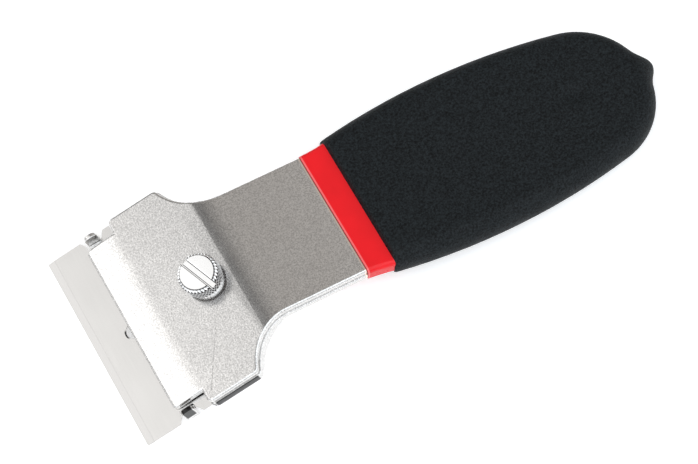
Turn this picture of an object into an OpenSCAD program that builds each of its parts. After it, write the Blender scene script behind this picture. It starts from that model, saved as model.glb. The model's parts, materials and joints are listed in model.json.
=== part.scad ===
// Razor blade scraper: two stamped plates clamp a single-edge blade under a thumb screw,
// and their joined tails carry a twice-dipped vinyl handle.
// The bend line across the top face is the drawing origin: the handle lies toward +X, the blade
// toward -X, and the head slopes down from the bend. Distances ahead of the bend line are
// measured along the sloping head.

/* [Blade] */
// Length of the cutting edge
blade_w = 38.1; // [34:0.1:44]
// Depth of the blade from the back of its spine to the cutting edge
blade_depth = 19; // [18:0.1:20]
// Thickness of the blade steel
blade_t = 0.25; // [0.2:0.01:0.35]
// Gap between the back of the blade and the tray's walls on each side
blade_wall_gap = 0.45; // [0.3:0.05:0.8]
// Width of the ground bevel behind the edge
bevel_depth = 1.3; // [0.8:0.1:2]
// Distance from the edge to the front of the side notches
notch_ahead = 7.2; // [6.8:0.1:7.6]
// Length of each side notch along the blade's depth
notch_len = 3.1; // [2.8:0.1:3.4]
// Depth of each side notch across the blade
notch_depth = 2.15; // [2:0.05:2.6]
// Length of each ear behind its notch, without its slanted corner
ear_len = 1.7; // [1.2:0.1:1.8]
// Diameter of the hole in the middle of the blade
blade_hole_d = 3; // [2:0.1:4]
// Distance from the edge to the centre of the hole
blade_hole_back = 7.5; // [6:0.1:8]
// Thickness of the folded spine
spine_t = 1.3; // [1:0.01:1.33]
// Depth of the folded spine
spine_depth = 4.5; // [3.5:0.1:5]

/* [Plates] */
// Thickness of each steel plate
plate_t = 1.2; // [1:0.05:1.4]
// Width of the upper plate's neck
neck_w = 24.5; // [22:0.1:26]
// How far the head stands past the blade on each side
head_past_blade = 0.15; // [0.1:0.05:0.5]
// How far the lower plate stands out past the upper one on each side
margin = 0.25; // [0.1:0.05:0.4]
// Slope of the head below the handle
bend_angle = 18.5; // [12:0.5:22]
// Radius of the bend across the top face
bend_r = 15; // [12:0.5:17]
// Radius of the hollow shoulders between neck and head
shoulder_r = 10; // [9:0.1:12]
// Where the shoulders would meet the sides of the head, ahead of the bend line
shoulder_end = 6.3; // [5.5:0.1:7]
// Radius of the head's corners
corner_r = 1; // [0.6:0.1:1.4]
// How far the lip that presses on the blade stands out past the wide head
lip_len = 5.7; // [5.4:0.1:6]
// Gap between the lip and each lug
lip_gap = 1.25; // [1:0.05:1.4]
// Radius of the lip's corners
lip_corner_r = 0.8; // [0.4:0.1:1.2]
// Bend line of the lip, ahead of the wide head's front
lip_bend_ahead = 1.2; // [1:0.1:1.4]
// Radius of the lip's bend
lip_bend_r = 26; // [16:1:26]
// How far the cutting edge stands out past the lip
blade_reach = 7; // [6.9:0.05:7.1]
// Height of the pocket between the plates
pocket = 1.35; // [1.34:0.01:1.6]
// How far the tray's side walls end behind the wide head's front
wall_set_back = 0.35; // [0.3:0.05:1]
// Extra slope of the lower plate where it drops away from the upper one
joggle_angle = 14; // [13:0.5:16]
// Radius of the two bends of that drop
joggle_r = 5; // [4.5:0.1:5.5]
// Where the lower plate starts to drop, behind the bend line
joggle_start = 3.5; // [3.2:0.1:3.8]
// Length of each lug along the side notch it stands in
lug_len = 2.4; // [2:0.1:2.5]
// How far the lugs' outer faces lie inside the blade's ends
lug_inset = 0.4; // [0.3:0.05:0.6]
// Thickness of the lugs
lug_t = 0.8; // [0.7:0.05:0.9]
// Height of the lugs above the top face of the head
lug_rise = 0.65; // [0.3:0.05:0.8]
// Gap between a lug and the rear end of its notch
lug_gap = 0.2; // [0.1:0.05:0.3]

/* [Thumb screw] */
// Place of the screw, ahead of the bend line
screw_place = 6.4; // [6.2:0.1:6.5]
// Gap between the screw's shank and the back of the blade
screw_to_blade = 1.45; // [1.3:0.05:2]
// Diameter over the knurl
knurl_d = 7.2; // [6.8:0.1:8]
// Diameter of the flat top face
face_d = 6; // [5.6:0.1:6.4]
// Height of the head
screw_head_h = 4.45; // [4:0.05:5.5]
// Diameter of the plain foot under the knurl
foot_d = 6.2; // [5.6:0.1:6.4]
// Height of the plain foot
foot_h = 0.85; // [0.5:0.05:1]
// Diameter of the threaded shank
shank_d = 3.9; // [3.5:0.1:4.1]
// Width of the coin slot
slot_w = 1.2; // [0.9:0.1:1.6]
// Depth of the coin slot
slot_depth = 1.4; // [1:0.1:2]
// Turn of the slot away from the tool's width when the screw is tight
slot_angle = 20; // [0:5:90]
// Knurl ridges around the head
knurl_count = 36; // [24:2:44]
// Depth of the knurl
knurl_depth = 0.22; // [0.1:0.02:0.3]
// Radial play of the shank in the threaded collar
screw_play = 0.05; // [0.02:0.01:0.08]
// Rise of the screw in one turn
pitch = 0.7; // [0.5:0.05:0.8]
// Turns from tight to the stop
turns = 2; // [1:0.5:2.5]
// Diameter of the hole in the upper plate
screw_hole_d = 4.7; // [4.5:0.1:5.2]
// Outer diameter of the collar under the lower plate
collar_d = 6.4; // [5.6:0.1:6.8]
// Height of the collar
collar_h = 0.9; // [0.6:0.1:1.2]
// Thickness of the retaining clip
clip_t = 0.5; // [0.4:0.05:0.6]
// Outer diameter of the retaining clip
clip_d = 6.2; // [5.6:0.1:7]
// Diameter of the shank in the clip's groove
groove_d = 2.8; // [2.4:0.1:3]

/* [Handle] */
// How far the tail swells past the neck on each side
tail_swell = 1.15; // [0.6:0.05:1.4]
// Radius of the tail's long sides
tail_side_r = 175; // [160:5:190]
// Where the tail is widest, behind the bend line
tail_widest = 43; // [40:0.5:46]
// End of the tail behind the bend line
tail_end = 78.2; // [74:0.1:82]
// Thickness of the red undercoat
coat_t = 0.35; // [0.32:0.01:0.45]
// Front edge of the undercoat, behind the bend line
coat_front = 18.3; // [15:0.1:20]
// Length of the red band that the grip leaves bare
band_len = 4.7; // [3:0.1:7]
// Thickness of the grip over the undercoat's sides, at its widest
side_cover = 1.65; // [1.5:0.05:2.2]
// Thickness of the grip past the undercoat's end
end_cover = 1.4; // [1.2:0.05:2.2]
// Thickness of the grip over the undercoat's flat faces
face_cover = 1.8; // [1.6:0.05:2.4]
// How far the grip's middle lies below the middle of the two plates
grip_drop = 0.6; // [0:0.05:0.7]
// Radius of the grip's long sides
grip_side_r = 122; // [116:1:128]
// How far behind the tail's widest place the grip is widest
grip_widest_behind = 2; // [0:0.5:4]
// How far the rounding of the sides reaches in from the edge
grip_round = 2.8; // [2:0.1:3]
// How far the rounding of the front edge reaches back
grip_front_round = 0.9; // [0.5:0.1:1.2]
// How far the drip stands out past the grip's end
drip_len = 1.7; // [1:0.1:2.5]
// Width of the drip where it leaves the grip
drip_w = 7.4; // [5:0.1:9]
// How far the drip lies to one side of the grip's middle
drip_side = 0.25; // [0:0.05:0.5]
// Width of the dimple over the eyelet
dimple_d = 4.6; // [4:0.1:5]
// Depth of the dimple
dimple_depth = 0.55; // [0.3:0.05:0.7]
// Distance from the eyelet to the end of the tail
eyelet_from_end = 12.4; // [11.5:0.1:16]
// Outer diameter of the eyelet's barrel
eyelet_d = 5; // [4.4:0.1:5.6]
// Wall of the eyelet
eyelet_wall = 0.6; // [0.4:0.05:0.8]
// Outer diameter of the eyelet's rolled ends
eyelet_flange_d = 7.4; // [6.6:0.1:8]
// Thickness of the eyelet's rolled ends
eyelet_flange_t = 0.25; // [0.2:0.01:0.3]

/* [Hidden] */
$fn = 64;

// Steel colours, and the two vinyls
steel_colour = [0.72, 0.71, 0.69];
blade_colour = [0.86, 0.85, 0.83];
chrome_colour = [0.9, 0.9, 0.9];
red_colour = [0.9, 0.1, 0.13];
black_colour = [0.13, 0.14, 0.16];

// Overrun of every cut past the faces that it opens
over = 1;
// Play between pieces that only lie against each other
seat_gap = 0.02;
// Blunt width of the ground edge
edge_flat = 0.02;
// How far the shoulder arcs dip into the neck's sides, so that the outlines cross there
shoulder_sink = 0.02;

// Thickness of the undercoat's sides at its front edge, as a share of its full thickness
coat_front_share = 0.35;

// Heights in the head, measured square to its top face
floor_top = -plate_t - pocket;
floor_bottom = floor_top - plate_t;
blade_mid = -plate_t - pocket / 2;

// Places along the head, ahead of the bend line
blade_back_u = screw_place + shank_d / 2 + screw_to_blade;
edge_u = blade_back_u + blade_depth;
lip_front = edge_u - blade_reach;
head_front = lip_front - lip_len;
lip_bend = head_front + lip_bend_ahead;
wall_front = head_front - wall_set_back;
notch_front_u = edge_u - notch_ahead;
notch_rear_u = notch_front_u - notch_len;
lug_rear_u = notch_rear_u + lug_gap;
hole_u = edge_u - blade_hole_back;

// Slanted corners of the notches and ears, as shares of the notch depth
notch_slant_share = 0.28;
ear_slant_share = 0.4;
notch_floor_slant_share = 0.12;

// Half widths
neck_half = neck_w / 2;
head_half = blade_w / 2 + head_past_blade;
lugs_half = blade_w / 2 - lug_inset;
lip_half = lugs_half - lug_t - lip_gap;
blade_back_half = head_half + margin - plate_t - blade_wall_gap;
tail_half = neck_half + tail_swell;
grip_half = tail_half + margin + coat_t + side_cover;

// Places along the handle, behind the bend line
grip_front = coat_front + band_len;
grip_widest = tail_widest + grip_widest_behind;
grip_end = tail_end + margin + coat_t + end_cover;
eyelet_place = tail_end - eyelet_from_end;

// Thickness of the grip from face to face
grip_h = 2 * (plate_t + coat_t + face_cover);
grip_middle = -plate_t - grip_drop;

// Steps of every rounded outline and of the bends
arc_steps = 12;
bend_steps = 8;
side_steps = 14;
end_steps = 16;

// Lip bend that closes the pocket onto the blade
lip_run = lip_front - lip_bend;
lip_first_angle = atan((pocket - blade_t) / 2 / lip_run);
lip_drop = (pocket - blade_t) / 2 - plate_t * (1 / cos(lip_first_angle) - 1) - seat_gap;
lip_angle = atan(lip_drop / lip_run);
lip_tangent = lip_bend_r * tan(lip_angle / 2);

// The bottom centre of the whole scraper is the part's origin
tip_x = -edge_u * cos(bend_angle) - (blade_mid + edge_flat / 2) * sin(bend_angle);
mid_x = (tip_x + grip_end + drip_len) / 2;
low_z = -edge_u * sin(bend_angle) + (blade_mid - edge_flat / 2) * cos(bend_angle);

module placed() {
    translate([-mid_x, 0, -low_z])
        children();
}

// The head's own axes: X runs back along the slope, Z is square to its top face
module on_head() {
    rotate([0, -bend_angle, 0])
        children();
}

// Points of an arc about c from angle a to angle b
function arc(c, r, a, b, n = arc_steps) =
    [for (k = [0:n]) c + r * [cos(a + (b - a) * k / n), sin(a + (b - a) * k / n)]];

// Half outline and its mirror image, in the order that closes it, with points at y = 0 kept once
function mirrored(half) =
    concat(half, [for (k = [len(half) - 1:-1:0]) if (half[k].y > 0) [half[k].x, -half[k].y]]);

// A station of a bent strip is [x, z, heading]; its top side looks along up(heading)
function up(heading) = [sin(heading), -cos(heading)];

function spot(station) = [station[0], station[1]];

function ahead(station, run) = [
    station[0] + run * cos(station[2]),
    station[1] + run * sin(station[2]),
    station[2]
];

// Stations of a bend of the top face: a positive turn bends the strip down
function bend(station, turn, r) =
    let (side = sign(turn), centre = spot(station) - side * r * up(station[2]))
    [
        for (k = [0:bend_steps])
            let (h = station[2] + turn * k / bend_steps, p = centre + side * r * up(h))
            [p.x, p.y, h]
    ];

function last(list) = list[len(list) - 1];

// Closed outline of a strip of thickness t under the stations of its top face
function strip(path, t) = concat(
    [for (s = path) spot(s)],
    [for (k = [len(path) - 1:-1:0]) spot(path[k]) - t * up(path[k][2])]
);

// Distance of a station ahead of the bend line, along the head
function reach(station) = -station[0] * cos(bend_angle) - station[1] * sin(bend_angle);

// Top face of the upper plate, from the tail to the lip
upper_bend_at = bend_r * tan(bend_angle / 2);
upper_main = bend([upper_bend_at, 0, 180], bend_angle, bend_r);
upper_lip = bend(
    ahead(last(upper_main), lip_bend - lip_tangent - reach(last(upper_main))),
    lip_angle,
    lip_bend_r
);
upper_path = concat(
    [[tail_end + over, 0, 180]],
    upper_main,
    upper_lip,
    [ahead(last(upper_lip), lip_run + over)]
);

// Top face of the lower plate: it drops away by the pocket's height, then rises to the blade
drop_angle = bend_angle + joggle_angle;
drop_start = bend([joggle_start, -plate_t, 180], drop_angle, joggle_r);
drop_end = bend(last(drop_start), -joggle_angle, joggle_r);
drop_left = plate_t + pocket
    - last(drop_end)[0] * sin(bend_angle)
    + last(drop_end)[1] * cos(bend_angle);
drop_run = drop_left / sin(joggle_angle);
floor_start = bend(ahead(last(drop_start), drop_run), -joggle_angle, joggle_r);
lower_lip = bend(
    ahead(last(floor_start), lip_bend - lip_tangent - reach(last(floor_start))),
    -lip_angle,
    lip_bend_r
);
lower_path = concat(
    [[tail_end + margin + over, -plate_t, 180]],
    drop_start,
    floor_start,
    lower_lip,
    [ahead(last(lower_lip), lip_run + over)]
);

// Outline of the head, seen square to it and grown by g, with a stub of the neck behind
function head_outline(g) =
    let (
        half = head_half + g,
        neck = neck_half + g,
        r = shoulder_r - g,
        c = max(corner_r + g, corner_r / 4),
        centre_y = neck_half + shoulder_r - shoulder_sink,
        centre_u = shoulder_end - sqrt(pow(shoulder_r, 2) - pow(centre_y - head_half, 2)),
        corner_u = centre_u + sqrt(pow(r + c, 2) - pow(centre_y - half + c, 2)),
        meet = atan2(half - c - centre_y, corner_u - centre_u)
    )
    mirrored(concat(
        [[-centre_u + over, neck - shoulder_sink]],
        [for (p = arc([centre_u, centre_y], r, -90, meet)) [-p.x, p.y]],
        [for (p = arc([corner_u, half - c], c, meet + 180, 90)) [-p.x, p.y]],
        [for (p = arc([head_front - c, half - c], c, 90, 0)) [-p.x, p.y]],
        [[-head_front, lip_half]],
        [
            for (p = arc([lip_front - lip_corner_r, lip_half - lip_corner_r], lip_corner_r, 90, 0))
                [-p.x, p.y]
        ]
    ));

// Half width of a handle layer at x: straight at the neck, then along the long side arc
function handle_half(x, neck, half, side_r, widest) =
    max(neck, half - side_r + sqrt(side_r * side_r - (x - widest) * (x - widest)));

// Outline of a handle layer from its front to its round end
function handle_outline(front, neck, half, side_r, widest, end) =
    let (
        d = end - widest,
        end_r = (side_r * side_r - pow(side_r - half, 2) - d * d) / (2 * (side_r - d)),
        meet_x = widest + side_r * (end - end_r - widest) / (side_r - end_r),
        meet_y = handle_half(meet_x, 0, half, side_r, widest),
        meet = atan2(meet_y, meet_x - end + end_r)
    )
    mirrored(concat(
        [
            for (k = [0:side_steps])
                let (x = front + (meet_x - front) * k / side_steps)
                [x, handle_half(x, neck, half, side_r, widest)]
        ],
        [
            for (k = [1:end_steps])
                let (a = meet * (1 - k / end_steps))
                [end - end_r + end_r * cos(a), end_r * sin(a)]
        ]
    ));

function tail_outline(g) =
    handle_outline(
        0,
        neck_half + g,
        tail_half + g,
        tail_side_r + g,
        tail_widest,
        tail_end + g
    );

function coat_outline(g) =
    handle_outline(
        coat_front,
        neck_half + margin + g * coat_front_share,
        tail_half + margin + g,
        tail_side_r + margin + g,
        tail_widest,
        tail_end + margin + g
    );

// Everything inside a plate's outline, grown by g
module plate_outline_block(g) {
    on_head()
        translate([0, 0, floor_bottom - lip_front])
            linear_extrude(lip_front - floor_bottom + lip_front)
                polygon(head_outline(g));
    translate([0, 0, floor_bottom])
        linear_extrude(over - floor_bottom)
            polygon(tail_outline(g));
}

// A strip of sheet with the given section, as wide as the blade needs
module sheet(section) {
    rotate([90, 0, 0])
        linear_extrude(4 * head_half, center = true)
            polygon(section);
}

module screw_axis() {
    on_head()
        translate([-screw_place, 0, 0])
            children();
}

module eyelet_axis() {
    translate([eyelet_place, 0, 0])
        children();
}

// Blade outline, half of it, from its back to its edge
blade_half = blade_w / 2;
ear_rear_u = notch_rear_u - notch_depth * ear_slant_share - ear_len;
blade_outline = mirrored([
    [-blade_back_u - (spine_t - blade_t) / 2, blade_back_half],
    [-ear_rear_u, blade_back_half],
    [-ear_rear_u, blade_half],
    [-notch_rear_u + notch_depth * ear_slant_share, blade_half],
    [-notch_rear_u, blade_half - notch_depth * (1 - ear_slant_share)],
    [-notch_rear_u - notch_depth * notch_floor_slant_share, blade_half - notch_depth],
    [-notch_front_u + notch_depth * notch_floor_slant_share, blade_half - notch_depth],
    [-notch_front_u, blade_half - notch_depth * ear_slant_share],
    [-notch_front_u - notch_depth * notch_slant_share, blade_half],
    [-edge_u - over, blade_half]
]);

// Blade section: flat sheet, ground to an edge from both sides
blade_section = [
    [-blade_back_u + over, blade_mid + blade_t / 2],
    [-edge_u + bevel_depth, blade_mid + blade_t / 2],
    [-edge_u, blade_mid + edge_flat / 2],
    [-edge_u, blade_mid - edge_flat / 2],
    [-edge_u + bevel_depth, blade_mid - blade_t / 2],
    [-blade_back_u + over, blade_mid - blade_t / 2]
];

module razor_blade() {
    color(blade_colour)
        placed()
            on_head()
                difference() {
                    intersection() {
                        sheet(blade_section);
                        translate([0, 0, floor_bottom])
                            linear_extrude(-floor_bottom)
                                polygon(blade_outline);
                    }
                    translate([-hole_u, 0, blade_mid - over])
                        cylinder(h = 2 * over, d = blade_hole_d);
                }
}

// Folded channel over the back of the blade
module blade_spine() {
    wall = (spine_t - blade_t) / 2;
    color(steel_colour)
        placed()
            on_head()
                rotate([90, 0, 0])
                    linear_extrude(2 * blade_back_half, center = true)
                        difference() {
                            polygon(concat(
                                [[-blade_back_u - spine_depth, blade_mid - spine_t / 2]],
                                arc([-blade_back_u - wall, blade_mid - spine_t / 2 + wall], wall, -90, 0),
                                arc([-blade_back_u - wall, blade_mid + spine_t / 2 - wall], wall, 0, 90),
                                [[-blade_back_u - spine_depth, blade_mid + spine_t / 2]]
                            ));
                            translate([-blade_back_u - spine_depth - over, blade_mid - blade_t / 2])
                                square([spine_depth + over - wall, blade_t]);
                        }
}

module eyelet_hole() {
    eyelet_axis()
        translate([0, 0, floor_bottom])
            cylinder(h = -floor_bottom + over, d = eyelet_d);
}

module upper_plate() {
    color(steel_colour)
        placed()
            difference() {
                intersection() {
                    sheet(strip(upper_path, plate_t));
                    plate_outline_block(0);
                }
                screw_axis()
                    translate([0, 0, -plate_t - over])
                        cylinder(h = plate_t + 2 * over, d = screw_hole_d);
                eyelet_hole();
            }
}

// Section of the tray's walls, from the drop to their front, with their foot inside the floor
tray_section = concat(
    [[joggle_start, -plate_t]],
    [for (s = upper_main) spot(s) - plate_t * up(s[2])],
    [for (n = [-plate_t, floor_top - plate_t / 2]) [
        -wall_front * cos(bend_angle) - n * sin(bend_angle),
        -wall_front * sin(bend_angle) + n * cos(bend_angle)
    ]],
    [for (k = [len(floor_start) - 1:-1:0]) spot(floor_start[k]) - plate_t / 2 * up(floor_start[k][2])],
    [for (k = [len(drop_start) - 1:-1:1]) spot(drop_start[k]) - plate_t / 2 * up(drop_start[k][2])]
);

// Walls of the tray before the outline is cut: they leave the inside and the front open
module tray_walls() {
    inner_half = head_half + margin - plate_t;
    difference() {
        sheet(tray_section);
        plate_outline_block(margin - plate_t);
        on_head()
            translate([-lip_front, -inner_half, floor_bottom])
                cube([lip_front - shoulder_end - corner_r, 2 * inner_half, -floor_bottom]);
    }
}

// One lug of the lower plate, standing in the blade's side notch
module lug() {
    base = floor_top - plate_t / 2;
    top = lug_rise;
    r = lug_len * 0.4;
    on_head()
        translate([-lug_rear_u - lug_len, lugs_half, 0])
            rotate([90, 0, 0])
                linear_extrude(lug_t)
                    polygon(concat(
                        [[0, base], [lug_len, base]],
                        arc([lug_len - r, top - r], r, 0, 90),
                        arc([r, top - r], r, 90, 180)
                    ));
}

// Ears of the lower lip that carry the lugs
module lug_pads() {
    on_head()
        translate([-lug_rear_u - lug_len, -lugs_half, floor_bottom])
            cube([lug_len, 2 * lugs_half, -floor_bottom]);
}

module lower_plate() {
    color(steel_colour)
        placed()
            difference() {
                union() {
                    intersection() {
                        union() {
                            sheet(strip(lower_path, plate_t));
                            tray_walls();
                        }
                        union() {
                            plate_outline_block(margin);
                            lug_pads();
                        }
                    }
                    for (side = [0, 1])
                        mirror([0, side, 0])
                            lug();
                    screw_axis()
                        translate([0, 0, floor_bottom - collar_h])
                            cylinder(h = collar_h + plate_t / 2, d = collar_d);
                }
                screw_axis()
                    translate([0, 0, floor_bottom - collar_h - over])
                        cylinder(h = collar_h + plate_t + 2 * over, d = shank_d + 2 * screw_play);
                eyelet_hole();
            }
}

// Depths of the screw below the head's top face
travel = pitch * turns;
clip_top = floor_bottom - collar_h - travel;
groove_top = clip_top + seat_gap;
groove_bottom = clip_top - clip_t - seat_gap;
screw_tip = groove_bottom - clip_t;

// Knurled head: a grid of points whose radius alternates between ridge and hollow
knurl_columns = 2 * knurl_count;
knurl_step = PI * knurl_d / knurl_columns;
knurl_low = foot_h + knurl_step;
knurl_high = screw_head_h - (knurl_d - face_d) / 2;
knurl_rows = round((knurl_high - knurl_low) / knurl_step);
knurl_rings = concat(
    [
        [0, foot_d / 2, false],
        [foot_h, foot_d / 2, false],
        [foot_h, knurl_d / 2 - knurl_depth, false]
    ],
    [
        for (k = [0:knurl_rows])
            [knurl_low + (knurl_high - knurl_low) * k / knurl_rows, knurl_d / 2, true]
    ],
    [[screw_head_h, face_d / 2, false]]
);
knurl_points = [
    for (i = [0:len(knurl_rings) - 1], j = [0:knurl_columns - 1])
        let (
            ring = knurl_rings[i],
            r = ring[1] - (ring[2] && (i + j) % 2 == 0 ? knurl_depth : 0),
            a = 360 * j / knurl_columns
        )
        [r * cos(a), r * sin(a), ring[0]]
];

// Triangles between rings of n points, closed by a face at each end
function ring_faces(rings, n) = concat(
    [[for (j = [0:n - 1]) j]],
    [
        for (i = [0:rings - 2], j = [0:n - 1])
            let (
                a = i * n + j,
                b = i * n + (j + 1) % n,
                c = a + n,
                d = b + n
            )
            each ((i + j) % 2 == 0 ? [[a, c, d], [a, d, b]] : [[a, c, b], [b, c, d]])
    ],
    [[for (j = [n - 1:-1:0]) (rings - 1) * n + j]]
);

module thumb_screw() {
    color(chrome_colour)
        placed()
            screw_axis() {
                rotate([0, 0, slot_angle])
                    difference() {
                        polyhedron(knurl_points, ring_faces(len(knurl_rings), knurl_columns));
                        translate([-slot_w / 2, -knurl_d, screw_head_h - slot_depth])
                            cube([slot_w, 2 * knurl_d, slot_depth + over]);
                    }
                translate([0, 0, groove_top])
                    cylinder(h = knurl_low - groove_top, d = shank_d);
                translate([0, 0, groove_bottom])
                    cylinder(h = groove_top - groove_bottom, d = groove_d);
                translate([0, 0, screw_tip])
                    cylinder(h = groove_bottom - screw_tip, d1 = groove_d, d2 = shank_d);
            }
}

// Spring clip in the groove, open on one side; it meets the collar when the screw is loosened
module retaining_clip() {
    bore = groove_d + 2 * screw_play;
    color(steel_colour)
        placed()
            screw_axis()
                translate([0, 0, clip_top - clip_t])
                    difference() {
                        cylinder(h = clip_t, d = clip_d);
                        translate([0, 0, -over])
                            cylinder(h = clip_t + 2 * over, d = bore);
                        translate([0, -groove_d * 0.4, -over])
                            cube([clip_d, groove_d * 0.8, clip_t + 2 * over]);
                    }
}

// Tubular rivet that joins the ends of the two tails
module eyelet_solid(bore) {
    eyelet_axis()
        difference() {
            union() {
                translate([0, 0, -2 * plate_t])
                    cylinder(h = 2 * plate_t, d = eyelet_d);
                for (z = [0, -2 * plate_t - eyelet_flange_t])
                    translate([0, 0, z])
                        cylinder(h = eyelet_flange_t, d = eyelet_flange_d);
            }
            if (bore)
                translate([0, 0, -2 * plate_t - over])
                    cylinder(h = 2 * plate_t + 2 * over, d = eyelet_d - 2 * eyelet_wall);
        }
}

module tail_eyelet() {
    color(steel_colour)
        placed()
            eyelet_solid(true);
}

// Everything inside the undercoat's outer faces
module coat_block() {
    translate([0, 0, -2 * plate_t - coat_t])
        linear_extrude(2 * plate_t + 2 * coat_t)
            polygon(coat_outline(coat_t));
}

// Everything inside the two tails, with the eyelet that joins them
module tails_block() {
    translate([0, 0, -plate_t])
        linear_extrude(plate_t)
            polygon(tail_outline(0));
    translate([0, 0, -2 * plate_t])
        linear_extrude(plate_t)
            polygon(tail_outline(margin));
    eyelet_solid(false);
}

module red_undercoat() {
    color(red_colour)
        placed()
            difference() {
                coat_block();
                tails_block();
            }
}

// Rounded grip: its outline is drawn in toward the two flat faces along an ellipse, and the drip
// at its end thins out toward them
grip_rings = 14;
grip_outline = [
    for (i = [0:grip_rings])
        let (
            a = 180 * i / grip_rings - 90,
            inset = grip_round * (1 - cos(a)),
            front = grip_front + grip_front_round * (1 - cos(a)),
            outline = handle_outline(
                front,
                0,
                grip_half - inset,
                grip_side_r - inset,
                grip_widest,
                grip_end - inset
            )
        )
        [for (p = outline) p + [drip_reach(p) * cos(a) * cos(a), 0]]
];
grip_points = [
    for (i = [0:grip_rings], p = grip_outline[i])
        [p.x, p.y, grip_middle + grip_h / 2 * sin(180 * i / grip_rings - 90)]
];

// How far the drip carries a point of the grip's outline past the grip's end
function drip_reach(p) =
    p.x < grip_widest || abs(p.y - drip_side) > drip_w / 2
        ? 0
        : drip_len * pow(cos(180 * (p.y - drip_side) / drip_w), 2);

module black_grip() {
    dimple_r = (dimple_d * dimple_d / 4 + dimple_depth * dimple_depth) / (2 * dimple_depth);
    color(black_colour)
        placed()
            difference() {
                polyhedron(grip_points, ring_faces(grip_rings + 1, len(grip_outline[0])));
                coat_block();
                eyelet_axis()
                    translate([0, 0, grip_middle + grip_h / 2 - dimple_depth + dimple_r])
                        sphere(r = dimple_r);
            }
}

razor_blade();
blade_spine();
upper_plate();
lower_plate();
thumb_screw();
retaining_clip();
tail_eyelet();
red_undercoat();
black_grip();
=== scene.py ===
"""Razor blade scraper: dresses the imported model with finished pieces, materials and a studio."""

import json
import math

import bpy
from mathutils import Euler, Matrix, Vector

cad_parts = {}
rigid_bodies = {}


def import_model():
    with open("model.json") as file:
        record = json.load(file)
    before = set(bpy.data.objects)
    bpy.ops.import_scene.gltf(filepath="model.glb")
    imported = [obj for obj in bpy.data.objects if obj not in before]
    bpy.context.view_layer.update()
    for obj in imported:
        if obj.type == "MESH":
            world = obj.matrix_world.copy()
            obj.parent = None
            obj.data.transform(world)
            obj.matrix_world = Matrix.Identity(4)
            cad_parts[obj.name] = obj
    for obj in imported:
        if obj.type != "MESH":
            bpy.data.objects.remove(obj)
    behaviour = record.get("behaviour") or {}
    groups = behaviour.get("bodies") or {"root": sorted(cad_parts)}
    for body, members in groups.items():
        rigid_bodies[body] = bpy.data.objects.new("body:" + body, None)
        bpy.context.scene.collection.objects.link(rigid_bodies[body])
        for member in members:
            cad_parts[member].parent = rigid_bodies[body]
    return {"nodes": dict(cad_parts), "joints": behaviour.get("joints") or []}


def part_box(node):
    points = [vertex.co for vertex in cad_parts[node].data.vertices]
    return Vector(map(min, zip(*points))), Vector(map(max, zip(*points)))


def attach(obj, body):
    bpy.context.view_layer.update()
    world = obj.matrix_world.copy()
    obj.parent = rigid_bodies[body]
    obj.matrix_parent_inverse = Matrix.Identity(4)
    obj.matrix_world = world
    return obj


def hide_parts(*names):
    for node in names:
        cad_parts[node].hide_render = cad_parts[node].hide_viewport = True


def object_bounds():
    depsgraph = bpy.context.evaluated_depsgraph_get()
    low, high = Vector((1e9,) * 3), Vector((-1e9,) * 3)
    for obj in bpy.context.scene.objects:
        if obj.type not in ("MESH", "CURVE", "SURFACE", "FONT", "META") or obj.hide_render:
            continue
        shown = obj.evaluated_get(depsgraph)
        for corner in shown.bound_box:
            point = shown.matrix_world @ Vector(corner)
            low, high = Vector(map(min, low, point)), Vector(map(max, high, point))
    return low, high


bl_info = {
    "name": "Razor blade scraper",
    "version": (1, 0, 0),
    "blender": (4, 5, 0),
    "location": "3D View > Sidebar > Scraper",
    "description": "Builds the finished pieces, materials and studio of a razor blade scraper",
    "category": "Object",
}

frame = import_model()
CAD_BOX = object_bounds()

# Millimetre in scene units
MM = 0.001
# Slope of the head below the handle, and the screw's axis
HEAD_ANGLE = math.radians(18.5)
SCREW_AXIS = Vector(next(j["axis"] for j in frame["joints"] if j["name"] == "screw_turn"))
SCREW_FOOT = Vector(next(j["pos_m"] for j in frame["joints"] if j["name"] == "screw_turn"))
# Ways ahead along the head and across it
AHEAD = Vector((-SCREW_AXIS.z, 0, SCREW_AXIS.x))
ACROSS = Vector((0, 1, 0))
TOOL = "tool"
# Places closer than this count as the same
NEAR = 0.01 * MM
# Angles in degrees under which faces count as one flat: in a CAD node, a finished plate and a shell
FLAT_IN_NODE, FLAT_IN_PLATE, FLAT_IN_SHELL = 0.05, 0.2, 0.5

# Radii of the thumb screw's shank and of the clip's groove, and the thread's pitch and depth
SHANK_R, GROOVE_R, PITCH, THREAD_DEPTH = 1.95 * MM, 1.4 * MM, 0.7 * MM, 0.32 * MM
# Levels from the head's foot: both ends of the clip's groove, the screw's tip and the thread's end
GROOVE_TOP, GROOVE_BOTTOM, TIP, THREAD_END = -6.03 * MM, -6.57 * MM, -7.07 * MM, -0.6 * MM
# Slot for a coin, and radius of the screw's worn edges
SLOT_W, SLOT_DEPTH, SLOT_ANGLE = 1.2 * MM, 1.4 * MM, math.radians(20)
WORN_EDGE = 0.04 * MM
# Angles in degrees above which the screw's edges are worn, and below which its faces are smooth
SCREW_SHARP, SCREW_SMOOTH = 28, 16
# Columns of points round the screw, and rows of points in one pitch of its thread
COLUMNS = 72
THREAD_ROWS = 8
# Length of the knurl's diamonds along the screw, to their width
KNURL_STRETCH = 1.8

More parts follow.
